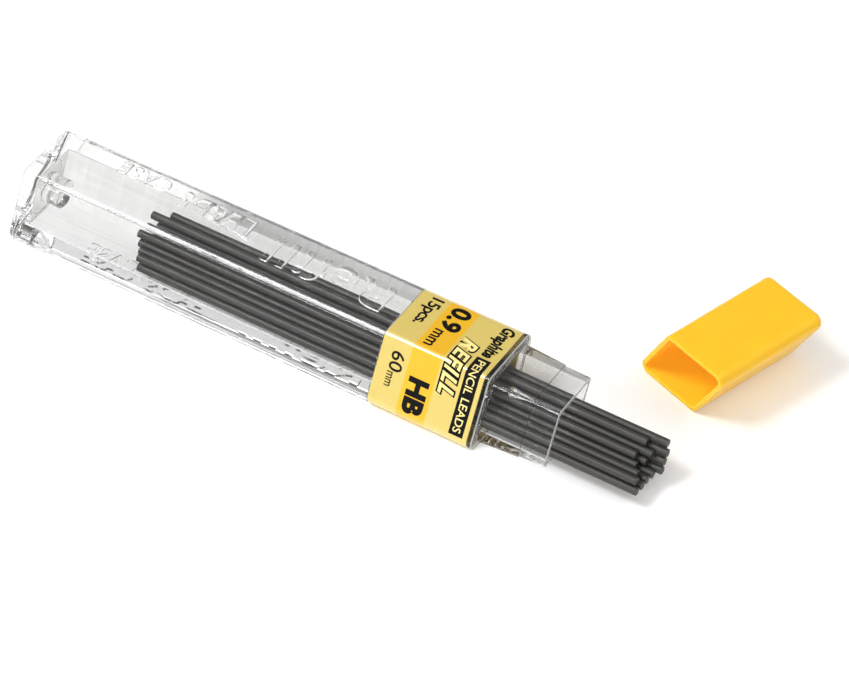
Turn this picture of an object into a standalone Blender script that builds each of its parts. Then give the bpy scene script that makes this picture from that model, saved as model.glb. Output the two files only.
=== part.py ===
"""Refill case for mechanical-pencil leads: a clear rhombic tube, a printed label, loose leads and a push-on cap.

Units are metres, +Z is up. The case lies on one of its long faces with its open neck towards +X. The origin is on
that resting face, under the middle of the case's body. The cap lies off the neck, rolled onto its other long face.
"""

import math

import bmesh
import bpy
from mathutils import Vector

MM = 0.001

# The rhombic section that the case and the cap share
ACUTE_ANGLE = math.radians(61.0)
SIDE = 8.7 * MM
ACUTE_RADIUS = 1.0 * MM
OBTUSE_RADIUS = 0.9 * MM
CORNER_STEPS = 6
HEIGHT = SIDE * math.sin(ACUTE_ANGLE)
AXIS_HEIGHT = HEIGHT / 2

# Case, along its axis from the closed end
BODY_LENGTH = 57.75 * MM
CASE_LENGTH = 65.5 * MM
BODY_EDGE = 0.25 * MM
WALL = 1.5 * MM
CAVITY_SIDE_FLOOR = 5.15 * MM
CAVITY_SIDE_RIM = 5.3 * MM
CAVITY_RADIUS = 0.2 * MM
NECK_SIDE_BASE = 6.8 * MM
NECK_SIDE_RIM = 6.3 * MM
NECK_RADIUS = 0.35 * MM
CLOSED_END_X = -BODY_LENGTH / 2

# Raised disc on the closed end and the boss inside it
DISC_RADIUS = 3.05 * MM
DISC_RISE = 0.4 * MM
DISC_EDGE = 0.2 * MM
BOSS_RADIUS = 1.3 * MM
BOSS_LENGTH = 2.3 * MM

# Wedges on the neck's two blunt ridges that the cap snaps over
WEDGE_START = 2.0 * MM
WEDGE_LENGTH = 2.9 * MM
WEDGE_RISE = 0.3 * MM
WEDGE_HALF_WIDTH = 0.5 * MM

# Label, wrapped round a shallow recess next to the shoulder
LABEL_START = 45.3 * MM
LABEL_END = 57.1 * MM
LABEL_THICKNESS = 0.12 * MM
LABEL_GAP = 0.05 * MM
RECESS_DEPTH = LABEL_THICKNESS + 2 * LABEL_GAP

# Cap, along its axis from the mouth
CAP_LENGTH = 14.1 * MM
CAP_WALL = 0.45 * MM
CAP_END_WALL = 0.8 * MM
CAP_DRAFT = 0.1 * MM
CAP_END_RADIUS = 0.6 * MM
CAP_MOUTH_EDGE = 0.12 * MM
CAP_MOUTH = Vector((71.7 * MM + CLOSED_END_X, 11.85 * MM, AXIS_HEIGHT))
CAP_YAW = math.radians(71.5)
CAP_ROLL = math.pi - ACUTE_ANGLE

# Leads: a stack in the case's front lower corner, each row nesting in the one below
LEAD_LENGTH = 60.0 * MM
LEAD_RADIUS = 0.45 * MM
LEAD_PITCH = 0.95 * MM
LEAD_CHAMFER = 0.06 * MM
LEAD_SEGMENTS = 24
LEAD_OUT = 9.85 * MM
# (row, first place in the row, how much further out than LEAD_OUT each lead of the row is pulled)
LEAD_ROWS = (
    (0, 0, (0.0, 0.08, 0.07, 0.2, 0.7)),
    (1, 0, (-0.3, -0.75, -1.45, -0.85, 0.67)),
    (2, 2, (-1.8, -0.5, 0.7)),
    (3, 3, (-1.4, 0.43)),
)


def clear_scene():
    for item in list(bpy.data.objects):
        bpy.data.objects.remove(item, do_unlink=True)


def material(name, colour, roughness, metallic=0.0, alpha=1.0, transmission=0.0):
    mat = bpy.data.materials.new(name)
    mat.use_nodes = True
    shader = mat.node_tree.nodes["Principled BSDF"]
    shader.inputs["Base Color"].default_value = (*colour, 1.0)
    shader.inputs["Roughness"].default_value = roughness
    shader.inputs["Metallic"].default_value = metallic
    shader.inputs["Alpha"].default_value = alpha
    shader.inputs["Transmission Weight"].default_value = transmission
    return mat


def section(side, acute_radius, obtuse_radius, inset=0.0):
    """Points of a rounded rhombus about its centre, as (y, z), with its top pushed towards +y."""
    side = side - 2 * inset / math.sin(ACUTE_ANGLE)
    half_height = side * math.sin(ACUTE_ANGLE) / 2
    lean = side * math.cos(ACUTE_ANGLE) / 2
    corners = (
        (-side / 2 - lean, -half_height, acute_radius, math.pi + ACUTE_ANGLE / 2, math.pi - ACUTE_ANGLE),
        (side / 2 - lean, -half_height, obtuse_radius, 1.5 * math.pi + ACUTE_ANGLE / 2, ACUTE_ANGLE),
        (side / 2 + lean, half_height, acute_radius, ACUTE_ANGLE / 2, math.pi - ACUTE_ANGLE),
        (-side / 2 + lean, half_height, obtuse_radius, math.pi / 2 + ACUTE_ANGLE / 2, ACUTE_ANGLE),
    )
    points = []
    for y, z, radius, outward, turn in corners:
        radius = max(radius - inset, 0.05 * MM)
        back = radius / math.cos(turn / 2)
        centre_y = y - back * math.cos(outward)
        centre_z = z - back * math.sin(outward)
        for step in range(CORNER_STEPS + 1):
            angle = outward + turn * (step / CORNER_STEPS - 0.5)
            points.append((centre_y + radius * math.cos(angle), centre_z + radius * math.sin(angle)))
    return points


def loft(name, stations):
    """A closed skin through (x, section points) stations, with flat ends."""
    mesh = bpy.data.meshes.new(name)
    bm = bmesh.new()
    rings = [[bm.verts.new((x, y, z)) for y, z in points] for x, points in stations]
    for near, far in zip(rings, rings[1:]):
        count = len(near)
        for i in range(count):
            following = (i + 1) % count
            bm.faces.new((near[i], near[following], far[following], far[i]))
    bm.faces.new(list(reversed(rings[0])))
    bm.faces.new(rings[-1])
    bmesh.ops.recalc_face_normals(bm, faces=bm.faces)
    bm.to_mesh(mesh)
    bm.free()
    return mesh


def place(name, mesh, mat=None, location=(0.0, 0.0, 0.0), rotation=(0.0, 0.0, 0.0)):
    item = bpy.data.objects.new(name, mesh)
    item.location = location
    item.rotation_euler = rotation
    bpy.context.collection.objects.link(item)
    if mat is not None:
        mesh.materials.append(mat)
        mesh.shade_smooth()
        mesh.set_sharp_from_angle(angle=math.radians(25))
    return item


def helper(name, mesh, location):
    item = place(name, mesh, location=location)
    item.hide_render = True
    item.display_type = "WIRE"
    return item


def boolean(target, tool, operation):
    modifier = target.modifiers.new(f"{operation.lower()}_{tool.name}", "BOOLEAN")
    modifier.operation = operation
    modifier.solver = "EXACT"
    modifier.object = tool


def turned(name, radius, start, end, edge):
    """A round plug about the x axis from start to end, its end edge broken by a small chamfer."""
    turns = 32
    mesh = bpy.data.meshes.new(name)
    bm = bmesh.new()
    rings = []
    for x, ring_radius in ((start, radius), (end - math.copysign(edge, end - start), radius), (end, radius - edge)):
        angles = [2 * math.pi * i / turns for i in range(turns)]
        rings.append([bm.verts.new((x, ring_radius * math.cos(a), ring_radius * math.sin(a))) for a in angles])
    for near, far in zip(rings, rings[1:]):
        for i in range(turns):
            following = (i + 1) % turns
            bm.faces.new((near[i], near[following], far[following], far[i]))
    bm.faces.new(rings[0])
    bm.faces.new(rings[-1])
    bmesh.ops.recalc_face_normals(bm, faces=bm.faces)
    bm.to_mesh(mesh)
    bm.free()
    return mesh


def wedge_mesh(name, direction):
    """A ramp on a blunt ridge of the neck: tall next to the shoulder, running out towards the rim."""
    start = BODY_LENGTH + WEDGE_START
    end = start + WEDGE_LENGTH
    outward = Vector((0.0, -math.sin(ACUTE_ANGLE / 2), math.cos(ACUTE_ANGLE / 2))) * direction
    along = Vector((0.0, outward.z, -outward.y))
    half_diagonal = math.sin(ACUTE_ANGLE / 2)
    taper = (NECK_SIDE_BASE - NECK_SIDE_RIM) / (CASE_LENGTH - BODY_LENGTH)
    rings = []
    mesh = bpy.data.meshes.new(name)
    bm = bmesh.new()
    for x, rise, half_width in ((start, WEDGE_RISE, WEDGE_HALF_WIDTH), (end, -0.12 * MM, WEDGE_HALF_WIDTH / 3)):
        ridge = (NECK_SIDE_BASE - taper * (x - BODY_LENGTH)) * half_diagonal
        foot = outward * (ridge - 0.45 * MM) + Vector((x, 0.0, 0.0))
        crest = outward * (ridge + rise) + Vector((x, 0.0, 0.0))
        corners = (
            foot - along * half_width * 1.3,
            foot + along * half_width * 1.3,
            crest + along * half_width * 0.6,
            crest - along * half_width * 0.6,
        )
        rings.append([bm.verts.new(corner) for corner in corners])
    for i in range(4):
        following = (i + 1) % 4
        bm.faces.new((rings[0][i], rings[0][following], rings[1][following], rings[1][i]))
    bm.faces.new(rings[0])
    bm.faces.new(rings[1])
    bmesh.ops.recalc_face_normals(bm, faces=bm.faces)
    bm.to_mesh(mesh)
    bm.free()
    return mesh


def make_case():
    body = (SIDE, ACUTE_RADIUS, OBTUSE_RADIUS)
    full = section(*body)
    recess_low = LABEL_START - LABEL_GAP
    recess_high = LABEL_END + LABEL_GAP
    recess = section(*body, inset=RECESS_DEPTH)
    stations = [
        (0.0, section(*body, inset=BODY_EDGE)),
        (BODY_EDGE, full),
        (recess_low, full),
        (recess_low, recess),
        (recess_high, recess),
        (recess_high, full),
        (BODY_LENGTH - BODY_EDGE, full),
        (BODY_LENGTH, section(*body, inset=BODY_EDGE)),
        (BODY_LENGTH, section(NECK_SIDE_BASE, NECK_RADIUS, NECK_RADIUS)),
        (CASE_LENGTH, section(NECK_SIDE_RIM, NECK_RADIUS, NECK_RADIUS)),
    ]
    at = (CLOSED_END_X, 0.0, AXIS_HEIGHT)
    clear = material("clear_polystyrene", (0.95, 0.96, 0.96), 0.05, alpha=0.35, transmission=1.0)
    case = place("case", loft("case", stations), clear, at)
    past_rim = 1.0 * MM
    widening = (CAVITY_SIDE_RIM - CAVITY_SIDE_FLOOR) / (CASE_LENGTH - WALL)
    mouth_side = CAVITY_SIDE_RIM + widening * past_rim
    cavity = [
        (WALL, section(CAVITY_SIDE_FLOOR, CAVITY_RADIUS, CAVITY_RADIUS)),
        (CASE_LENGTH + past_rim, section(mouth_side, CAVITY_RADIUS, CAVITY_RADIUS)),
    ]
    bite = 0.5 * MM
    tools = (
        (helper("cavity_tool", loft("cavity_tool", cavity), at), "DIFFERENCE"),
        (helper("disc_tool", turned("disc_tool", DISC_RADIUS, bite, -DISC_RISE, DISC_EDGE), at), "UNION"),
        (helper("boss_tool", turned("boss_tool", BOSS_RADIUS, WALL - bite, WALL + BOSS_LENGTH, 0.1 * MM), at), "UNION"),
        (helper("front_wedge_tool", wedge_mesh("front_wedge_tool", 1.0), at), "UNION"),
        (helper("back_wedge_tool", wedge_mesh("back_wedge_tool", -1.0), at), "UNION"),
    )
    for tool, operation in tools:
        boolean(case, tool, operation)


def make_label():
    print_film = material("label_film", (0.85, 0.66, 0.2), 0.4)
    outer = section(SIDE, ACUTE_RADIUS, OBTUSE_RADIUS, inset=LABEL_GAP)
    inner = section(SIDE, ACUTE_RADIUS, OBTUSE_RADIUS, inset=LABEL_GAP + LABEL_THICKNESS)
    mesh = bpy.data.meshes.new("label")
    bm = bmesh.new()
    loops = ((LABEL_START, outer), (LABEL_END, outer), (LABEL_END, inner), (LABEL_START, inner))
    rings = [[bm.verts.new((x, y, z)) for y, z in points] for x, points in loops]
    for near, far in zip(rings, rings[1:] + rings[:1]):
        count = len(near)
        for i in range(count):
            following = (i + 1) % count
            bm.faces.new((near[i], near[following], far[following], far[i]))
    bmesh.ops.recalc_face_normals(bm, faces=bm.faces)
    bm.to_mesh(mesh)
    bm.free()
    place("label", mesh, print_film, (CLOSED_END_X, 0.0, AXIS_HEIGHT))


def make_cap():
    body = (SIDE, ACUTE_RADIUS, OBTUSE_RADIUS)
    stations = [(0.0, section(*body, inset=CAP_MOUTH_EDGE)), (CAP_MOUTH_EDGE, section(*body))]
    end_steps = 5
    for step in range(end_steps + 1):
        angle = math.pi / 2 * step / end_steps
        x = CAP_LENGTH - CAP_END_RADIUS * (1 - math.sin(angle))
        stations.append((x, section(*body, inset=CAP_END_RADIUS * (1 - math.cos(angle)))))
    yellow = material("cap_plastic", (0.93, 0.58, 0.02), 0.35)
    turn = (CAP_ROLL, 0.0, CAP_YAW)
    cap = place("cap", loft("cap", stations), yellow, CAP_MOUTH, turn)
    past_mouth = 1.0 * MM
    hollow = [
        (-past_mouth, section(*body, inset=CAP_WALL)),
        (CAP_LENGTH - CAP_END_WALL, section(*body, inset=CAP_WALL + CAP_DRAFT)),
    ]
    tool = helper("cap_hollow_tool", loft("cap_hollow_tool", hollow), CAP_MOUTH)
    tool.rotation_euler = turn
    boolean(cap, tool, "DIFFERENCE")


def lead_mesh():
    """One lead along +x from its inner end, both ends lightly chamfered."""
    mesh = bpy.data.meshes.new("lead")
    bm = bmesh.new()
    rings = []
    inner_radius = LEAD_RADIUS - LEAD_CHAMFER
    profile = (
        (0.0, inner_radius),
        (LEAD_CHAMFER, LEAD_RADIUS),
        (LEAD_LENGTH - LEAD_CHAMFER, LEAD_RADIUS),
        (LEAD_LENGTH, inner_radius),
    )
    angles = [2 * math.pi * i / LEAD_SEGMENTS for i in range(LEAD_SEGMENTS)]
    for x, radius in profile:
        rings.append([bm.verts.new((x, radius * math.cos(a), radius * math.sin(a))) for a in angles])
    for near, far in zip(rings, rings[1:]):
        for i in range(LEAD_SEGMENTS):
            following = (i + 1) % LEAD_SEGMENTS
            bm.faces.new((near[i], near[following], far[following], far[i]))
    bm.faces.new(rings[0])
    bm.faces.new(rings[-1])
    bmesh.ops.recalc_face_normals(bm, faces=bm.faces)
    bm.to_mesh(mesh)
    bm.free()
    return mesh


def make_leads():
    graphite = material("graphite", (0.07, 0.07, 0.075), 0.45)
    mesh = lead_mesh()
    # The first lead sits in the acute lower corner of the cavity at its narrow end
    play = LEAD_RADIUS + (LEAD_PITCH - 2 * LEAD_RADIUS)
    corner_y = -CAVITY_SIDE_FLOOR * (1 + math.cos(ACUTE_ANGLE)) / 2
    first_y = corner_y + play / math.tan(ACUTE_ANGLE / 2)
    first_z = AXIS_HEIGHT - CAVITY_SIDE_FLOOR * math.sin(ACUTE_ANGLE) / 2 + play
    end_x = CLOSED_END_X + CASE_LENGTH + LEAD_OUT
    number = 0
    for row, first_place, pulls in LEAD_ROWS:
        for place_in_row, pull in enumerate(pulls, first_place):
            number += 1
            x = end_x + pull * MM - LEAD_LENGTH
            y = first_y + LEAD_PITCH * (place_in_row + row / 2)
            z = first_z + LEAD_PITCH * row * math.sqrt(3) / 2
            lead = place(f"lead_{number:02d}", mesh, None, (x, y, z))
            if number == 1:
                mesh.materials.append(graphite)
                mesh.shade_smooth()
                mesh.set_sharp_from_angle(angle=math.radians(25))
            lead.rotation_euler = (0.0, 0.0, 0.0)


clear_scene()
make_case()
make_label()
make_cap()
make_leads()
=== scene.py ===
"""Looks of a refill case for pencil leads: clear case, printed label, graphite leads and yellow cap."""

import math

import bmesh
import bpy
from mathutils import Matrix, Vector


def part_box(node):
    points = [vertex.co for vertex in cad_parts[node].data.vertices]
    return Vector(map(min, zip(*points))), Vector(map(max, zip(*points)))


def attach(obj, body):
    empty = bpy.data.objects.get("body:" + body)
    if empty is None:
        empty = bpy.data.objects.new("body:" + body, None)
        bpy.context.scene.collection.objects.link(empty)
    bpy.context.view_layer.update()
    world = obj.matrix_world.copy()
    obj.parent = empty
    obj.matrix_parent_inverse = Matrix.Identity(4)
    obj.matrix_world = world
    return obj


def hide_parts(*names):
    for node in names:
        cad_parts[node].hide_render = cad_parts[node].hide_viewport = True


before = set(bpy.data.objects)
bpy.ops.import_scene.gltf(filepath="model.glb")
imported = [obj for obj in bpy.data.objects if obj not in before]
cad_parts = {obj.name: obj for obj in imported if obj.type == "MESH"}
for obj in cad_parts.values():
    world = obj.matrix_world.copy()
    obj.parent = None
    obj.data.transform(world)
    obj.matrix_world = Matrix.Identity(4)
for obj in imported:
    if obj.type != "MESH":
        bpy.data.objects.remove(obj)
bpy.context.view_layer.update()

MM = 0.001

# Sizes read from the frame
CASE_LOW, CASE_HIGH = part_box("case")
LABEL_LOW, LABEL_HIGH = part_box("label")
LEAD_NODES = sorted(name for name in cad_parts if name.startswith("lead_"))
HEIGHT = CASE_HIGH.z - CASE_LOW.z
AXIS_HEIGHT = CASE_LOW.z + HEIGHT / 2
ACUTE_ANGLE = math.radians(61.0)
SIDE = HEIGHT / math.sin(ACUTE_ANGLE)
ACUTE_RADIUS = 1.0 * MM
OBTUSE_RADIUS = 0.9 * MM

# The case, along its axis from the closed end
DISC_RISE = 0.4 * MM
DISC_RADIUS = 3.05 * MM
CLOSED_END_X = CASE_LOW.x + DISC_RISE
CASE_LENGTH = CASE_HIGH.x - CLOSED_END_X
NECK_LENGTH = 7.75 * MM
BODY_LENGTH = CASE_LENGTH - NECK_LENGTH
NECK_SIDE_BASE = 6.8 * MM
NECK_SIDE_RIM = 6.3 * MM
NECK_RADIUS = 0.35 * MM
NECK_SLOPE = (NECK_SIDE_BASE - NECK_SIDE_RIM) / NECK_LENGTH
NECK_STEP_X = BODY_LENGTH + 4.75 * MM
NECK_STEP = 0.13 * MM
CAVITY_SIDE_RIM = 5.3 * MM
CAVITY_SIDE_FLOOR = 5.15 * MM
CAVITY_RADIUS = 0.2 * MM
WALL = 1.5 * MM
BOSS_RADIUS = 1.27 * MM
BOSS_LENGTH = 2.25 * MM
WEDGE_START = 2.0 * MM
WEDGE_LENGTH = 2.9 * MM
WEDGE_RISE = 0.3 * MM

# The words moulded on the case, raised on its top face and sunk in its bottom face, all in mm:
# (word, its span along the case, its span across the top face, its span across the bottom face)
RAISED_HEIGHT = 0.12
SUNK_DEPTH = 0.14
CASE_WORDS = (
    ("Refill", (28.6, 43.2), (3.65, -0.3), (-3.6, -0.8)),
    ("LEADS", (16.4, 25.6), (4.3, 1.8), (-3.5, -1.5)),
    ("CASE", (8.4, 14.8), (4.6, 2.7), (-3.5, -1.5)),
)

# The label, in its recess
LABEL_START = LABEL_LOW.x - CLOSED_END_X
LABEL_END = LABEL_HIGH.x - CLOSED_END_X
RECESS_DEPTH = 0.22 * MM
LABEL_DEPTH = 0.03 * MM
LABEL_THICKNESS = 0.17 * MM
BAND_START = 3.4 * MM
BAND_END = 6.8 * MM
INK_LIFT = 0.008 * MM

# The cap, along its axis from the mouth
CAP_LENGTH = 14.1 * MM
CAP_WALL = 0.45 * MM
CAP_END_WALL = 0.8 * MM
CAP_DRAFT = 0.1 * MM
CAP_END_RADIUS = 0.65 * MM
CAP_YAW = math.radians(71.5)
CAP_ROLL = math.pi - ACUTE_ANGLE

# Camera, looking down on the case from the neck's side
CAMERA_AZIMUTH = math.radians(32.6)
CAMERA_ELEVATION = math.radians(45.2)
CAMERA_ROLL = math.radians(-0.19)
CAMERA_DISTANCE = 0.3894
CAMERA_LENS = 160.8
CAMERA_TARGET = Vector((17.26 * MM, 3.82 * MM, 1.8 * MM))

CORNER_STEPS = 14
# Where each flat side is divided: close to its ends, so that the round corners keep even shading
FLAT_SHARES = (0.03, 0.16, 0.3, 0.43, 0.57, 0.7, 0.84, 0.97)
SMALLEST_RADIUS = 0.03 * MM

CLEAR_IOR = 1.5
# The case's material slots, in order
CLEAR, STREAKED, RUBBED, DRAWN, PAINTED_SHADE_END = range(5)


# Sections and skins


def section(side, acute_radius, obtuse_radius, inset=0.0):
    """Points of a rounded rhombus about its centre, as (y, z), with its top pushed towards +y."""
    side = side - 2 * inset / math.sin(ACUTE_ANGLE)
    half_height = side * math.sin(ACUTE_ANGLE) / 2
    lean = side * math.cos(ACUTE_ANGLE) / 2
    half = ACUTE_ANGLE / 2
    corners = (
        (-side / 2 - lean, -half_height, acute_radius, math.pi + half, math.pi - ACUTE_ANGLE),
        (side / 2 - lean, -half_height, obtuse_radius, 1.5 * math.pi + half, ACUTE_ANGLE),
        (side / 2 + lean, half_height, acute_radius, half, math.pi - ACUTE_ANGLE),
        (-side / 2 + lean, half_height, obtuse_radius, math.pi / 2 + half, ACUTE_ANGLE),
    )
    arcs = []
    for y, z, radius, outward, turn in corners:
        radius = max(radius - inset, SMALLEST_RADIUS)
        back = radius / math.cos(turn / 2)
        centre = Vector((y - back * math.cos(outward), z - back * math.sin(outward)))
        angles = [outward + turn * (step / CORNER_STEPS - 0.5) for step in range(CORNER_STEPS + 1)]
        arcs.append([centre + radius * Vector((math.cos(a), math.sin(a))) for a in angles])
    points = []
    for arc, following in zip(arcs, arcs[1:] + arcs[:1]):
        points += arc
        points += [arc[-1].lerp(following[0], share) for share in FLAT_SHARES]
    return points


def rhombus_ring(x, side, acute_radius, obtuse_radius, inset=0.0):
    """The rounded rhombus at x along the case; a positive inset makes it smaller all round."""
    return [Vector((x, p.x, p.y)) for p in section(side, acute_radius, obtuse_radius, inset)]


def round_ring(x, radius):
    """A circle whose points lie at the same angles as a rhombus ring's."""
    outward = [p.normalized() * radius for p in section(SIDE, ACUTE_RADIUS, OBTUSE_RADIUS)]
    return [Vector((x, p.x, p.y)) for p in outward]


def quarter(steps):
    """(share along, share across) pairs round a quarter circle, from the end face to the side."""
    pairs = []
    for step in range(steps + 1):
        angle = math.pi / 2 * step / steps
        pairs.append((1 - math.cos(angle), 1 - math.sin(angle)))
    return pairs


def skin(name, rings, back_to_first=False):
    """A closed mesh through rings of points: its end rings are filled, or the last joins the first."""
    bm = bmesh.new()
    loops = [[bm.verts.new(p) for p in ring] for ring in rings]
    following_loops = loops[1:] + loops[:1] if back_to_first else loops[1:]
    for near, far in zip(loops, following_loops):
        count = len(near)
        for i in range(count):
            following = (i + 1) % count
            bm.faces.new((near[i], near[following], far[following], far[i]))
    if not back_to_first:
        bm.faces.new(list(reversed(loops[0])))
        bm.faces.new(loops[-1])
    bmesh.ops.recalc_face_normals(bm, faces=bm.faces)
    mesh = bpy.data.meshes.new(name)
    bm.to_mesh(mesh)
    bm.free()
    return mesh


def add(name, mesh, material=None, sharp_degrees=30.0):
    """A mesh as an object in the scene, shaded smooth except at its sharp edges."""
    piece = bpy.data.objects.new(name, mesh)
    bpy.context.collection.objects.link(piece)
    if material is not None:
        mesh.materials.clear()
        mesh.materials.append(material)
    mesh.shade_smooth()
    mesh.set_sharp_from_angle(angle=math.radians(sharp_degrees))
    return piece


def weighted_normals(piece):
    """Shading that keeps large faces flat next to small round edges."""
    modifier = piece.modifiers.new("weighted_normals", "WEIGHTED_NORMAL")
    modifier.keep_sharp = True
    modifier.weight = 60


def evaluated_mesh(piece):
    """A new mesh: the piece as its modifiers or its curve settings leave it."""
    return bpy.data.meshes.new_from_object(piece.evaluated_get(bpy.context.evaluated_depsgraph_get()))


def cut_with(piece, tool, operation):
    """Joins the tool to the piece, or cuts it out of the piece, and removes the tool."""
    modifier = piece.modifiers.new(f"{operation.lower()}_{tool.name}", "BOOLEAN")
    modifier.operation = operation
    modifier.solver = "EXACT"
    modifier.use_self = True
    modifier.object = tool
    mesh = evaluated_mesh(piece)
    piece.modifiers.clear()
    piece.data = mesh
    bpy.data.objects.remove(tool)


# Lettering: Blender's own plain font, as thin closed solids


def text_mesh(name, words, bold=0.0, slant=0.0, spacing=1.0, rounding=0.0):
    """Words as a solid that fills the unit cube: they read along x, with the letters' tops at y = 1.

    The depth is flat-sided, or rounded all over where rounding is given.
    """
    curve = bpy.data.curves.new(name, "FONT")
    curve.body = words
    curve.offset = bold
    curve.shear = slant
    curve.space_character = spacing
    curve.extrude = 0.0 if rounding else 0.5
    curve.bevel_depth = rounding
    curve.bevel_resolution = 2
    curve.resolution_u = 5
    text = bpy.data.objects.new(name, curve)
    bpy.context.collection.objects.link(text)
    mesh = evaluated_mesh(text)
    bpy.data.objects.remove(text)
    bm = bmesh.new()
    bm.from_mesh(mesh)
    bmesh.ops.remove_doubles(bm, verts=bm.verts, dist=1e-5)
    low = Vector([min(v.co[i] for v in bm.verts) for i in range(3)])
    high = Vector([max(v.co[i] for v in bm.verts) for i in range(3)])
    for v in bm.verts:
        v.co = Vector([(v.co[i] - low[i]) / (high[i] - low[i]) for i in range(3)])
    bm.to_mesh(mesh)
    bm.free()
    return mesh


def slab_mesh(name):
    """A unit cube from the origin, for a printed bar."""
    bm = bmesh.new()
    bmesh.ops.create_cube(bm, size=1.0, matrix=Matrix.Translation((0.5, 0.5, 0.5)))
    mesh = bpy.data.meshes.new(name)
    bm.to_mesh(mesh)
    bm.free()
    return mesh


def label_point(x, s, lift):
    """The point of the label x along the case and s round it, from its back edge over the front ridge."""
    side = SIDE - 2 * LABEL_DEPTH / math.sin(ACUTE_ANGLE)
    radius = OBTUSE_RADIUS - LABEL_DEPTH
    reach = radius * math.tan(ACUTE_ANGLE / 2)
    half_height = side * math.sin(ACUTE_ANGLE) / 2
    ridge = Vector((-side / 2 + side * math.cos(ACUTE_ANGLE) / 2, half_height))
    past = s - SIDE
    if past < -reach:
        normal = Vector((0.0, 1.0))
        at = ridge + Vector((-past, 0.0))
    elif past > reach:
        normal = Vector((-math.sin(ACUTE_ANGLE), math.cos(ACUTE_ANGLE)))
        at = ridge + past * Vector((-math.cos(ACUTE_ANGLE), -math.sin(ACUTE_ANGLE)))
    else:
        angle = math.pi / 2 + ACUTE_ANGLE * (past + reach) / (2 * reach)
        normal = Vector((math.cos(angle), math.sin(angle)))
        centre = ridge + Vector((reach, -radius))
        at = centre + radius * normal
    at = at + normal * lift
    return Vector((CLOSED_END_X + x, at.x, AXIS_HEIGHT + at.y))


def print_on_label(name, mesh, x_span, s_span, layer, material):
    """Lays a unit mesh on the label: its x along s_span round the label, its y along x_span, both in mm.

    It is divided round the ridge so that it can bend there. Each layer of ink lies on the one below it.
    """
    bm = bmesh.new()
    bm.from_mesh(mesh)
    x0, x1 = (LABEL_START + value * MM for value in x_span)
    s0, s1 = (value * MM for value in s_span)
    for v in bm.verts:
        v.co = Vector((s0 + (s1 - s0) * v.co.x, x0 + (x1 - x0) * v.co.y, v.co.z))
    reach = OBTUSE_RADIUS * math.tan(ACUTE_ANGLE / 2)
    cuts = 10
    for step in range(cuts + 1):
        at = SIDE + reach * (2 * step / cuts - 1)
        if s0 < at < s1:
            geometry = bm.verts[:] + bm.edges[:] + bm.faces[:]
            bmesh.ops.bisect_plane(bm, geom=geometry, dist=1e-9, plane_co=(at, 0, 0), plane_no=(1, 0, 0))
    bmesh.ops.triangulate(bm, faces=bm.faces)
    bottom = (layer - 1) * INK_LIFT
    gap = 0.2
    for v in bm.verts:
        v.co = label_point(v.co.y, v.co.x, bottom + INK_LIFT * (gap + (1 - gap) * v.co.z))
    bmesh.ops.recalc_face_normals(bm, faces=bm.faces)
    bm.to_mesh(mesh)
    bm.free()
    piece = add(name, mesh, material, sharp_degrees=40.0)
    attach(piece, "case")


# Materials


def new_material(name, colour, roughness, **settings):
    """A material, its node tree and its shader; settings are the shader's other sockets, _ for a space."""
    material = bpy.data.materials.new(name)
    material.use_nodes = True
    shader = material.node_tree.nodes["Principled BSDF"]
    shader.inputs["Base Color"].default_value = (*colour, 1.0)
    shader.inputs["Roughness"].default_value = roughness
    for key, value in settings.items():
        shader.inputs[key.replace("_", " ")].default_value = value
    return material, material.node_tree, shader


def node(tree, kind, **values):
    """A new node; a value goes to the input of that name, or else to the node's own setting."""
    made = tree.nodes.new(kind)
    for key, value in values.items():
        if key in made.inputs:
            made.inputs[key].default_value = value
        else:
            setattr(made, key, value)
    return made


def position(tree, scale=(1.0, 1.0, 1.0)):
    """Object coordinates, stretched by scale."""
    place = node(tree, "ShaderNodeTexCoord")
    stretch = node(tree, "ShaderNodeMapping")
    stretch.inputs["Scale"].default_value = scale
    tree.links.new(place.outputs["Object"], stretch.inputs["Vector"])
    return stretch.outputs["Vector"]


def noise(tree, scale, detail=3.0, stretch=(1.0, 1.0, 1.0), roughness=0.5):
    """Noise on object coordinates; a stretch below 1 draws it out along that axis."""
    made = node(tree, "ShaderNodeTexNoise", Scale=scale, Detail=detail, Roughness=roughness)
    tree.links.new(position(tree, stretch), made.inputs["Vector"])
    return made.outputs["Fac"]


def span(tree, value, low, high, start=0.0, end=1.0):
    """Value, from start to end, carried to the range low to high."""
    made = node(tree, "ShaderNodeMapRange")
    made.inputs["From Min"].default_value = start
    made.inputs["From Max"].default_value = end
    made.inputs["To Min"].default_value = low
    made.inputs["To Max"].default_value = high
    tree.links.new(value, made.inputs["Value"])
    return made.outputs["Result"]


def contrast(tree, value):
    """The middle of a noise's range, stretched over 0 to 1."""
    return span(tree, value, 0.0, 1.0, 0.35, 0.65)


def paint(tree, shader, factor, first, second):
    """Gives the shader a base colour that goes from first to second as factor goes from 0 to 1."""
    made = node(tree, "ShaderNodeMix", data_type="RGBA")
    sockets = {s.identifier: s for s in made.inputs}
    sockets["A_Color"].default_value = (*first, 1.0)
    sockets["B_Color"].default_value = (*second, 1.0)
    tree.links.new(factor, sockets["Factor_Float"])
    blended = {s.identifier: s for s in made.outputs}["Result_Color"]
    tree.links.new(blended, shader.inputs["Base Color"])


def bump(tree, shader, height, strength, distance):
    """Gives the shader relief from a height; distance is in metres."""
    made = node(tree, "ShaderNodeBump", Strength=strength, Distance=distance)
    tree.links.new(height, made.inputs["Height"])
    tree.links.new(made.outputs["Normal"], shader.inputs["Normal"])


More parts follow.
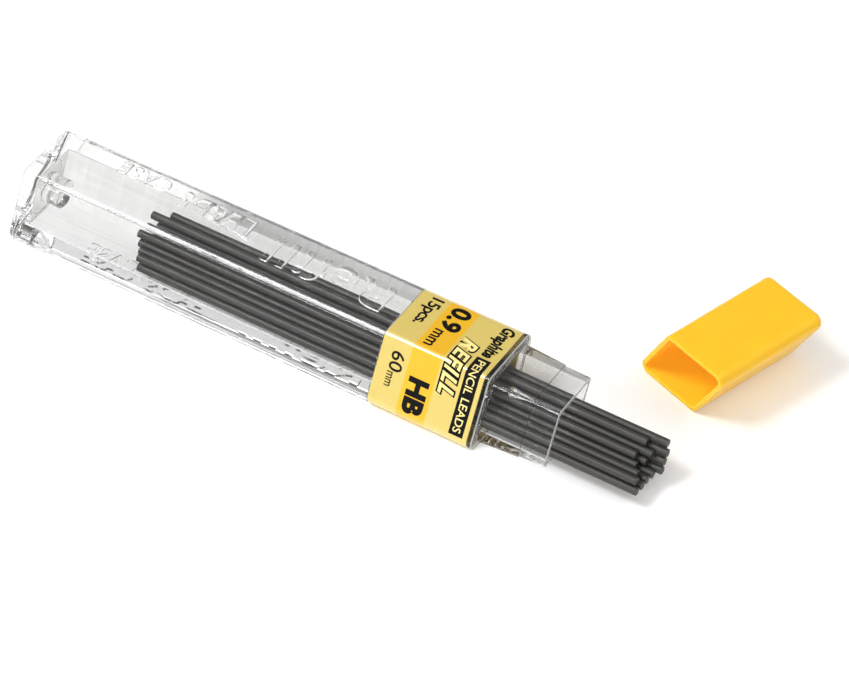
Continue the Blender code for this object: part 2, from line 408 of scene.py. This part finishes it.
def clear_plastic():
    """Polished polystyrene, with the faint flow marks and rub marks of a moulded and handled case."""
    made, tree, shader = new_material("clear_plastic", (0.86, 0.862, 0.858), 0.0, IOR=CLEAR_IOR)
    rub_marks = noise(tree, 2600, 2.0, (0.03, 1.0, 1.0))
    tree.links.new(span(tree, rub_marks, 0.99, 1.0), shader.inputs["Transmission Weight"])
    flow = noise(tree, 160, 2.0, (0.3, 1.0, 1.0))
    paint(tree, shader, contrast(tree, flow), (0.84, 0.843, 0.838), (0.88, 0.882, 0.877))
    return made


def painted_shade_end_plastic():
    """The same plastic at the closed end, where the light crosses the most of it, tinted a darker grey than
    that would make it: painted shade that greys the end and its outlines.
    """
    made, tree, shader = new_material("painted_shade_end_plastic", (0.6, 0.6, 0.59), 0.0, IOR=CLEAR_IOR)
    flow = noise(tree, 400, 2.0)
    paint(tree, shader, contrast(tree, flow), (0.48, 0.48, 0.47), (0.72, 0.72, 0.71))
    tree.links.new(span(tree, flow, 0.97, 1.0), shader.inputs["Transmission Weight"])
    return made


def drawn_plastic():
    """The same plastic where the mould's core left fine lines along the cavity."""
    made, tree, shader = new_material("drawn_plastic", (0.96, 0.962, 0.957), 0.0, IOR=CLEAR_IOR)
    lines = noise(tree, 3000, 3.0, (0.02, 1.0, 1.0), 0.6)
    paint(tree, shader, contrast(tree, lines), (0.87, 0.875, 0.875), (0.99, 0.99, 0.985))
    tree.links.new(span(tree, lines, 0.97, 1.0), shader.inputs["Transmission Weight"])
    bump(tree, shader, lines, 0.03, 0.00003)
    return made


def streaked_plastic():
    """The same plastic where the mould left fine marks across the face."""
    made, tree, shader = new_material("streaked_plastic", (0.95, 0.948, 0.94), 0.0, IOR=CLEAR_IOR)
    marks = noise(tree, 1500, 3.0, (1.0, 0.08, 0.08), 0.6)
    paint(tree, shader, contrast(tree, marks), (0.88, 0.88, 0.87), (0.995, 0.99, 0.98))
    tree.links.new(span(tree, marks, 0.92, 1.0), shader.inputs["Transmission Weight"])
    bump(tree, shader, marks, 0.03, 0.00004)
    return made


def rubbed_plastic():
    """The same plastic on the shoulder's edge and the rim, which the cap has rubbed matt."""
    made, tree, shader = new_material("rubbed_plastic", (0.93, 0.93, 0.925), 0.3, IOR=CLEAR_IOR)
    wear = noise(tree, 1800, 3.0)
    tree.links.new(span(tree, wear, 0.45, 0.75), shader.inputs["Transmission Weight"])
    tree.links.new(span(tree, wear, 0.2, 0.4), shader.inputs["Roughness"])
    return made


def label_material():
    """Pale gold film with an orange band round its middle, printed with a slightly soft edge."""
    made, tree, shader = new_material(
        "label_film",
        (0.74, 0.56, 0.14),
        0.32,
        Metallic=0.1,
        Coat_Weight=1.0,
        Coat_Roughness=0.18,
        Coat_IOR=1.65,
    )
    place = node(tree, "ShaderNodeTexCoord")
    split = node(tree, "ShaderNodeSeparateXYZ")
    tree.links.new(place.outputs["Object"], split.inputs["Vector"])
    along = span(tree, split.outputs["X"], 0.0, 1.0, LABEL_LOW.x, LABEL_HIGH.x)
    ramp = node(tree, "ShaderNodeValToRGB")
    width = LABEL_HIGH.x - LABEL_LOW.x
    edge = 0.006
    pale = (0.74, 0.57, 0.145, 1.0)
    orange = (0.9, 0.49, 0.006, 1.0)
    stops = (
        (0.0, pale),
        (BAND_START / width - edge, pale),
        (BAND_START / width + edge, orange),
        (BAND_END / width - edge, orange),
        (BAND_END / width + edge, pale),
        (1.0, pale),
    )
    elements = ramp.color_ramp.elements
    while len(elements) < len(stops):
        elements.new(0.5)
    for element, (place_on_ramp, colour) in zip(elements, stops):
        element.position = place_on_ramp
        element.color = colour
    tree.links.new(along, ramp.inputs["Fac"])
    speckle = noise(tree, 9000, 2.0)
    mottled = node(tree, "ShaderNodeHueSaturation")
    tree.links.new(ramp.outputs["Color"], mottled.inputs["Color"])
    tree.links.new(span(tree, speckle, 0.93, 1.07), mottled.inputs["Value"])
    tree.links.new(mottled.outputs["Color"], shader.inputs["Base Color"])
    tree.links.new(span(tree, noise(tree, 1200, 3.0), 0.24, 0.4), shader.inputs["Roughness"])
    bump(tree, shader, speckle, 0.08, 0.00003)
    return made


def ink_material(name, colour):
    """Printing ink, satin, with a fine grain a little lighter than its colour."""
    made, tree, shader = new_material(name, colour, 0.5, Specular_IOR_Level=0.08)
    grain = noise(tree, 12000, 2.0)
    lighter = tuple(min(1.0, value * 1.12 + 0.004) for value in colour)
    paint(tree, shader, grain, colour, lighter)
    tree.links.new(span(tree, grain, 0.45, 0.6), shader.inputs["Roughness"])
    return made


def graphite():
    """Extruded lead: dark grey, with fine drawn lines along it and a speckle of brighter flakes."""
    made, tree, shader = new_material("graphite", (0.04, 0.038, 0.037), 0.45, Specular_IOR_Level=0.4)
    drawn = noise(tree, 5200, 3.0, (0.02, 1.0, 1.0), 0.6)
    flakes = noise(tree, 7000, 2.0, (0.5, 1.0, 1.0))
    flake_share = 0.45
    mixed = node(tree, "ShaderNodeMath", operation="MULTIPLY_ADD")
    mixed.inputs[1].default_value = 1 - flake_share
    tree.links.new(drawn, mixed.inputs[0])
    tree.links.new(span(tree, flakes, 0.0, flake_share), mixed.inputs[2])
    paint(tree, shader, mixed.outputs["Value"], (0.018, 0.017, 0.016), (0.066, 0.063, 0.06))
    tree.links.new(span(tree, flakes, 0.33, 0.55), shader.inputs["Roughness"])
    bump(tree, shader, mixed.outputs["Value"], 0.25, 0.00002)
    return made


def cap_plastic(name, glow=0.0):
    """Yellow moulding, satin; glow stands for the light that its thin walls let through to the inside."""
    made, tree, shader = new_material(
        name,
        (0.93, 0.54, 0.02),
        0.3,
        IOR=1.5,
        Specular_IOR_Level=0.3,
        Subsurface_Weight=0.7,
        Subsurface_Scale=0.0014,
    )
    shader.inputs["Subsurface Radius"].default_value = (1.0, 0.5, 0.1)
    shader.inputs["Emission Color"].default_value = (0.82, 0.44, 0.05, 1.0)
    shader.inputs["Emission Strength"].default_value = glow
    cloud = noise(tree, 180, 3.0)
    paint(tree, shader, cloud, (0.92, 0.53, 0.016), (0.95, 0.565, 0.026))
    grain = noise(tree, 6000, 2.0)
    tree.links.new(span(tree, grain, 0.3, 0.42), shader.inputs["Roughness"])
    bump(tree, shader, grain, 0.06, 0.00003)
    return made


def floor_material():
    """White table top; its slight glow keeps it as even as a lit studio table."""
    made, tree, shader = new_material("pale_floor", (0.92, 0.92, 0.92), 0.7, Emission_Strength=0.12)
    shader.inputs["Emission Color"].default_value = (1.0, 1.0, 1.0, 1.0)
    paint(tree, shader, noise(tree, 6, 4.0), (0.915, 0.915, 0.915), (0.925, 0.925, 0.925))
    return made


# Pieces


def case_rings():
    """The case as one skin: from the disc along the outside, over the rim and down the cavity."""
    body = (SIDE, ACUTE_RADIUS, OBTUSE_RADIUS)
    rings = []
    disc_edge = 0.12 * MM
    for along, across in quarter(3):
        rings.append(round_ring(-DISC_RISE + disc_edge * along, DISC_RADIUS - disc_edge * across))
    disc_foot = 0.06 * MM
    rings.append(round_ring(-disc_foot, DISC_RADIUS))
    rings.append(round_ring(0.0, DISC_RADIUS + disc_foot))
    end_edge = 0.2 * MM
    for along, across in quarter(4):
        rings.append(rhombus_ring(end_edge * along, *body, inset=end_edge * across))
    lip = 0.08 * MM
    label_play = 0.03 * MM
    recess_low = LABEL_START - label_play
    recess_high = LABEL_END + label_play
    for along, across in reversed(quarter(3)):
        rings.append(rhombus_ring(recess_low - lip * along, *body, inset=lip * across))
    rings.append(rhombus_ring(recess_low, *body, inset=RECESS_DEPTH))
    rings.append(rhombus_ring(recess_high, *body, inset=RECESS_DEPTH))
    for along, across in quarter(3):
        rings.append(rhombus_ring(recess_high + lip * along, *body, inset=lip * across))
    shoulder_edge = 0.14 * MM
    for along, across in reversed(quarter(4)):
        x = BODY_LENGTH - shoulder_edge * along
        rings.append(rhombus_ring(x, *body, inset=shoulder_edge * across))
    fillet = 0.16 * MM
    for along, across in quarter(3):
        x = BODY_LENGTH + fillet * along
        rings.append(rhombus_ring(x, NECK_SIDE_BASE, NECK_RADIUS, NECK_RADIUS, inset=-fillet * across))
    return rings + neck_rings() + cavity_rings()


def neck_rings():
    """The neck's outside, with the fine step across it, and the rim."""
    neck = (NECK_RADIUS, NECK_RADIUS)
    rings = []
    half_step = 0.015 * MM
    for x, drop in ((NECK_STEP_X - half_step, 0.0), (NECK_STEP_X + half_step, NECK_STEP)):
        rings.append(rhombus_ring(x, NECK_SIDE_BASE - NECK_SLOPE * (x - BODY_LENGTH), *neck, inset=drop))
    rim_edge = 0.07 * MM
    for along, across in reversed(quarter(3)):
        x = CASE_LENGTH - rim_edge * along
        rings.append(rhombus_ring(x, NECK_SIDE_RIM, *neck, inset=rim_edge * across))
    cavity = (CAVITY_SIDE_RIM, CAVITY_RADIUS, CAVITY_RADIUS)
    for along, across in quarter(3):
        rings.append(rhombus_ring(CASE_LENGTH - rim_edge * along, *cavity, inset=-rim_edge * across))
    return rings


def cavity_rings():
    """The cavity's foot and floor, and the boss that stands on the floor."""
    cavity = (CAVITY_SIDE_FLOOR, CAVITY_RADIUS, CAVITY_RADIUS)
    rings = []
    floor_edge = 0.15 * MM
    for along, across in reversed(quarter(3)):
        rings.append(rhombus_ring(WALL + floor_edge * along, *cavity, inset=floor_edge * across))
    boss_foot = 0.1 * MM
    rings.append(round_ring(WALL, BOSS_RADIUS + boss_foot))
    rings.append(round_ring(WALL + boss_foot, BOSS_RADIUS))
    boss_edge = 0.12 * MM
    for along, across in reversed(quarter(3)):
        x = WALL + BOSS_LENGTH - boss_edge * along
        rings.append(round_ring(x, BOSS_RADIUS - boss_edge * across))
    return rings


def wedge_tool(direction):
    """A snap wedge on a blunt ridge of the neck, steep to the shoulder and running out to the rim."""
    outward = direction * Vector((0.0, -math.sin(ACUTE_ANGLE / 2), math.cos(ACUTE_ANGLE / 2)))
    across = Vector((0.0, outward.z, -outward.y))
    bite = 0.45 * MM
    # (share of the wedge's length, rise over the ridge, half width)
    stations = (
        (0.0, WEDGE_RISE - 0.05 * MM, 0.42 * MM),
        (0.03, WEDGE_RISE, 0.5 * MM),
        (1.0, -0.12 * MM, 0.16 * MM),
    )
    rings = []
    for share, rise, half_width in stations:
        x = BODY_LENGTH + WEDGE_START + WEDGE_LENGTH * share
        ridge = (NECK_SIDE_BASE - NECK_SLOPE * (x - BODY_LENGTH)) * math.sin(ACUTE_ANGLE / 2)
        foot = Vector((x, 0.0, 0.0)) + outward * (ridge - bite)
        crest = Vector((x, 0.0, 0.0)) + outward * (ridge + rise)
        wide = across * half_width
        rings.append([foot - 1.3 * wide, foot + 1.3 * wide, crest + 0.6 * wide, crest - 0.6 * wide])
    tool = add("wedge_tool", skin("wedge_tool", rings))
    tool.location = (CLOSED_END_X, 0.0, AXIS_HEIGHT)
    return tool


def lettering_tool(name, words, x_span, y_span, z_span, rounding=0.0):
    """Words as a solid between the given spans, in mm; a span that falls turns the words round."""
    weight = 0.025
    mesh = text_mesh(name, words, bold=weight - rounding, spacing=1.12, rounding=rounding)
    for v in mesh.vertices:
        x = x_span[0] + (x_span[1] - x_span[0]) * v.co.x
        y = y_span[0] + (y_span[1] - y_span[0]) * v.co.y
        z = z_span[0] + (z_span[1] - z_span[0]) * v.co.z
        v.co = Vector((CLOSED_END_X + x * MM, y * MM, z * MM))
    bm = bmesh.new()
    bm.from_mesh(mesh)
    bmesh.ops.recalc_face_normals(bm, faces=bm.faces)
    bm.to_mesh(mesh)
    bm.free()
    return add(name, mesh)


def paint_case(case):
    """Each face's plastic: clear, or streaked at the back, matt on edges, lined inside, and at the end a
    darker grey tint that is painted shade.
    """
    case.data.materials.clear()
    for make in (clear_plastic, streaked_plastic, rubbed_plastic, drawn_plastic, painted_shade_end_plastic):
        case.data.materials.append(make())
    back = Vector((0.0, math.sin(ACUTE_ANGLE), -math.cos(ACUTE_ANGLE)))
    outer = SIDE * math.sin(ACUTE_ANGLE) / 2 - 0.3 * MM
    facing = 0.95
    end_depth = 0.3 * MM
    for face in case.data.polygons:
        x = face.center.x
        on_back = face.normal.dot(back) > facing and face.center.dot(back) > outer
        in_cavity_back = face.normal.dot(back) < -facing and face.center.dot(back) > 0
        in_cavity_floor = face.normal.z > facing and face.center.z < 0
        by_shoulder = BODY_LENGTH - 0.15 * MM < x < BODY_LENGTH + 0.001 * MM
        on_shoulder = by_shoulder and abs(face.normal.x) < facing
        on_rim = x > CASE_LENGTH - 0.1 * MM
        if on_shoulder or on_rim:
            face.material_index = RUBBED
        # The closed end's faces get the darker grey tint, painted shade on the end
        elif x < end_depth:
            face.material_index = PAINTED_SHADE_END
        elif in_cavity_back or in_cavity_floor:
            face.material_index = DRAWN
        elif on_back and x < LABEL_START:
            face.material_index = STREAKED
        else:
            face.material_index = CLEAR


def make_case():
    """The clear moulding. It casts no shadow and holds up no bounced light, as clear walls let both pass."""
    case = add("case_shell", skin("case_shell", case_rings()))
    case.location = (CLOSED_END_X, 0.0, AXIS_HEIGHT)
    for direction in (1.0, -1.0):
        cut_with(case, wedge_tool(direction), "UNION")
    top = CASE_HIGH.z / MM
    raised = (top - RAISED_HEIGHT, top + RAISED_HEIGHT)
    sunk = (-SUNK_DEPTH, SUNK_DEPTH)
    rounding = 0.035
    for words, (start, end), top_span, bottom_span in CASE_WORDS:
        x_span = (end, start)
        raised_words = lettering_tool(f"raised_{words}", words, x_span, top_span, raised, rounding)
        cut_with(case, raised_words, "UNION")
        sunk_words = lettering_tool(f"sunk_{words}", words, x_span, bottom_span, sunk)
        cut_with(case, sunk_words, "DIFFERENCE")
    paint_case(case)
    case.data.shade_smooth()
    case.data.set_sharp_from_angle(angle=math.radians(32))
    weighted_normals(case)
    case.visible_shadow = False
    case.visible_diffuse = False
    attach(case, "case")
    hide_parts("case")


def make_label():
    """The printed film, a closed band in the case's recess."""
    body = (SIDE, ACUTE_RADIUS, OBTUSE_RADIUS)
    inner = LABEL_DEPTH + LABEL_THICKNESS
    edge = 0.03 * MM
    rings = [
        rhombus_ring(LABEL_START, *body, inset=inner),
        rhombus_ring(LABEL_START, *body, inset=LABEL_DEPTH + edge),
        rhombus_ring(LABEL_START + edge, *body, inset=LABEL_DEPTH),
        rhombus_ring(LABEL_END - edge, *body, inset=LABEL_DEPTH),
        rhombus_ring(LABEL_END, *body, inset=LABEL_DEPTH + edge),
        rhombus_ring(LABEL_END, *body, inset=inner),
    ]
    mesh = skin("label_wrap", rings, back_to_first=True)
    mesh.transform(Matrix.Translation((CLOSED_END_X, 0.0, AXIS_HEIGHT)))
    label = add("label_wrap", mesh, label_material())
    weighted_normals(label)
    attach(label, "case")
    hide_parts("label")


def make_printing():
    """The label's print: black ink on the film, and pale words on the black ones."""
    black = ink_material("black_ink", (0.004, 0.004, 0.0045))
    pale = ink_material("pale_ink", (0.85, 0.7, 0.27))

    def words(name, text, x_span, s_span, layer=1, ink=black, **shape):
        """Prints text from x_span[0], its foot, to x_span[1], its top, and along s_span round the label."""
        print_on_label(name, text_mesh(name, text, **shape), x_span, s_span, layer, ink)

    words("print_count", "15pcs.", (0.95, 2.8), (1.8, 5.9), bold=0.02, spacing=0.9)
    words("print_length_number", "60", (1.35, 2.9), (10.0, 12.15), bold=0.01)
    words("print_length_unit", "mm", (1.35, 2.05), (12.3, 13.9), bold=0.012)
    words("print_diameter", "0.9", (3.95, 6.25), (1.7, 5.15), bold=0.04)
    words("print_diameter_unit", "mm", (3.95, 4.95), (5.4, 7.9), bold=0.02)
    words("print_grade", "HB", (3.9, 6.3), (11.8, 15.75), bold=0.055)
    large = {"slant": 0.3, "spacing": 1.15}
    words("print_word_outline", "REFILL", (7.05, 9.25), (4.8, 12.4), bold=0.11, **large)
    words("print_word_fill", "REFILL", (7.24, 9.06), (4.97, 12.23), 2, pale, bold=0.03, **large)
    print_on_label("print_bar", slab_mesh("print_bar"), (9.65, 11.3), (6.6, 15.75), 1, black)
    words("print_bar_words", "PENCIL LEADS", (10.0, 10.93), (6.95, 15.4), 2, pale, bold=0.008)
    words("print_material", "Graphite", (9.35, 11.3), (1.6, 6.3), bold=0.042, slant=0.15)


def make_cap():
    """The cap, turned and rolled as the frame has it, its inside in the material that glows a little."""
    low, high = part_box("cap")
    body = (SIDE, ACUTE_RADIUS, OBTUSE_RADIUS)
    rings = []
    lip = 0.09 * MM
    for along, across in quarter(3):
        rings.append(rhombus_ring(lip * along, *body, inset=lip * across))
    for along, across in reversed(quarter(6)):
        x = CAP_LENGTH - CAP_END_RADIUS * along
        rings.append(rhombus_ring(x, *body, inset=CAP_END_RADIUS * across))
    inner = []
    floor = CAP_LENGTH - CAP_END_WALL
    floor_edge = 0.4 * MM
    for along, across in quarter(4):
        inset = CAP_WALL + CAP_DRAFT + floor_edge * across
        inner.append(rhombus_ring(floor - floor_edge * along, *body, inset=inset))
    for along, across in reversed(quarter(4)):
        inner.append(rhombus_ring(lip * along, *body, inset=CAP_WALL - lip * across))
    # The faces come in order: the outside up to the mouth, the inside, and then the two end faces
    outer_faces = len(rings) * len(rings[0])
    rings = list(reversed(rings)) + list(reversed(inner))
    cap = add("cap_moulding", skin("cap_moulding", rings), cap_plastic("cap_plastic"))
    cap.data.materials.append(cap_plastic("cap_inside", 0.18))
    outer_end_face = len(cap.data.polygons) - 2
    for number, face in enumerate(cap.data.polygons):
        face.material_index = int(number > outer_faces and number != outer_end_face)
    turn = Matrix.Rotation(CAP_YAW, 4, "Z") @ Matrix.Rotation(CAP_ROLL, 4, "X")
    cap.data.transform(turn)
    reach = [v.co for v in cap.data.vertices]
    middle = (Vector(map(min, *reach)) + Vector(map(max, *reach))) / 2
    cap.data.transform(Matrix.Translation((low + high) / 2 - middle))
    weighted_normals(cap)
    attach(cap, "cap")
    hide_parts("cap")


def make_leads():
    """A rod for each lead, with the slightly broken ends of a cut lead, no two alike."""
    material = graphite()
    segments = 32
    angles = [2 * math.pi * i / segments for i in range(segments)]
    edge = 0.05 * MM
    end_face_margin = 0.2 * MM
    chip = 0.02 * MM
    for number, name in enumerate(LEAD_NODES):
        low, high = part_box(name)
        radius = (high.z - low.z) / 2
        length = high.x - low.x
        profile = ((0.0, radius - end_face_margin), (0.0, radius - edge), (edge, radius))
        far = [(length - x, r) for x, r in reversed(profile)]
        rings = []
        for x, r in (*profile, *far):
            rings.append([Vector((x, r * math.cos(a), r * math.sin(a))) for a in angles])
        for ring, sign in ((rings[0], -1), (rings[1], -1), (rings[-2], 1), (rings[-1], 1)):
            for i, p in enumerate(ring):
                coarse = math.sin(3 * angles[i] + 1.7 * number)
                fine = math.sin(7 * angles[i] + 2.3 * number)
                wave = coarse + 0.6 * fine
                p.x -= sign * chip * (1 + wave * 0.5)
        mesh = skin(f"{name}_rod", rings)
        mesh.transform(Matrix.Translation((low.x, (low.y + high.y) / 2, (low.z + high.z) / 2)))
        rod = add(f"{name}_rod", mesh, material)
        weighted_normals(rod)
        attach(rod, name)
        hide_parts(name)


# Stage


def make_floor():
    """A plain table top, a hair under the case so that the two never share a face."""
    bm = bmesh.new()
    bmesh.ops.create_grid(bm, x_segments=8, y_segments=8, size=3.0)
    mesh = bpy.data.meshes.new("floor")
    bm.to_mesh(mesh)
    bm.free()
    floor = add("floor", mesh, floor_material())
    floor.location.z = CASE_LOW.z - 0.03 * MM


def area_light(name, direction, distance, size, power):
    """A softbox that faces the case from a direction."""
    light = bpy.data.lights.new(name, "AREA")
    light.shape = "RECTANGLE"
    light.size, light.size_y = size
    light.energy = power
    lamp = bpy.data.objects.new(name, light)
    bpy.context.collection.objects.link(lamp)
    towards = Vector(direction).normalized()
    lamp.location = CAMERA_TARGET + towards * distance
    lamp.rotation_euler = towards.to_track_quat("Z", "Y").to_euler()


def make_softboxes():
    """Soft light from over the closed end, from the front and from behind the neck."""
    area_light("overhead_softbox", (-0.385, -0.318, 0.867), 0.6, (0.2, 0.2), 2.0)
    area_light("front_softbox", (0.05, -0.93, 0.36), 0.8, (0.5, 0.35), 3.3)
    area_light("right_softbox", (0.72, 0.25, 0.65), 0.8, (0.6, 0.6), 1.2)


def make_world():
    """A dim white room with a bright ceiling, and a bright backdrop low behind the case."""
    dim = 0.12
    ceiling_light = 0.85
    backdrop_light = 0.6
    world = bpy.data.worlds.new("studio")
    bpy.context.scene.world = world
    world.use_nodes = True
    tree = world.node_tree
    background = tree.nodes["Background"]
    place = node(tree, "ShaderNodeTexCoord")
    split = node(tree, "ShaderNodeSeparateXYZ")
    tree.links.new(place.outputs["Generated"], split.inputs["Vector"])
    behind = node(tree, "ShaderNodeMath", operation="SUBTRACT")
    tree.links.new(split.outputs["Y"], behind.inputs[0])
    tree.links.new(split.outputs["Z"], behind.inputs[1])
    backdrop = span(tree, behind.outputs["Value"], 0.0, backdrop_light, 0.1, 0.6)
    ceiling = span(tree, split.outputs["Z"], dim, ceiling_light, 0.74, 0.84)
    both = node(tree, "ShaderNodeMath", operation="ADD")
    tree.links.new(backdrop, both.inputs[0])
    tree.links.new(ceiling, both.inputs[1])
    tree.links.new(both.outputs["Value"], background.inputs["Strength"])
    background.inputs["Color"].default_value = (1.0, 1.0, 1.0, 1.0)


def make_camera():
    """The camera, looking down along the case from its neck."""
    camera = bpy.data.objects.new("camera", bpy.data.cameras.new("camera"))
    bpy.context.collection.objects.link(camera)
    flat = math.cos(CAMERA_ELEVATION)
    across = Vector((math.sin(CAMERA_AZIMUTH), -math.cos(CAMERA_AZIMUTH), 0.0))
    back = across * flat + Vector((0.0, 0.0, math.sin(CAMERA_ELEVATION)))
    camera.location = CAMERA_TARGET + back * CAMERA_DISTANCE
    facing = back.to_track_quat("Z", "Y").to_matrix().to_4x4()
    camera.rotation_euler = (facing @ Matrix.Rotation(CAMERA_ROLL, 4, "Z")).to_euler()
    camera.data.lens = CAMERA_LENS
    camera.data.clip_start = 0.01
    bpy.context.scene.camera = camera


def set_view():
    """Plain colours, and enough bounces for light to cross the clear walls one behind another."""
    scene = bpy.context.scene
    scene.view_settings.view_transform = "Standard"
    scene.cycles.max_bounces = 20
    scene.cycles.glossy_bounces = 16
    scene.cycles.transmission_bounces = 16


make_camera()
make_case()
make_label()
make_printing()
make_cap()
make_leads()
make_floor()
make_softboxes()
make_world()
set_view()
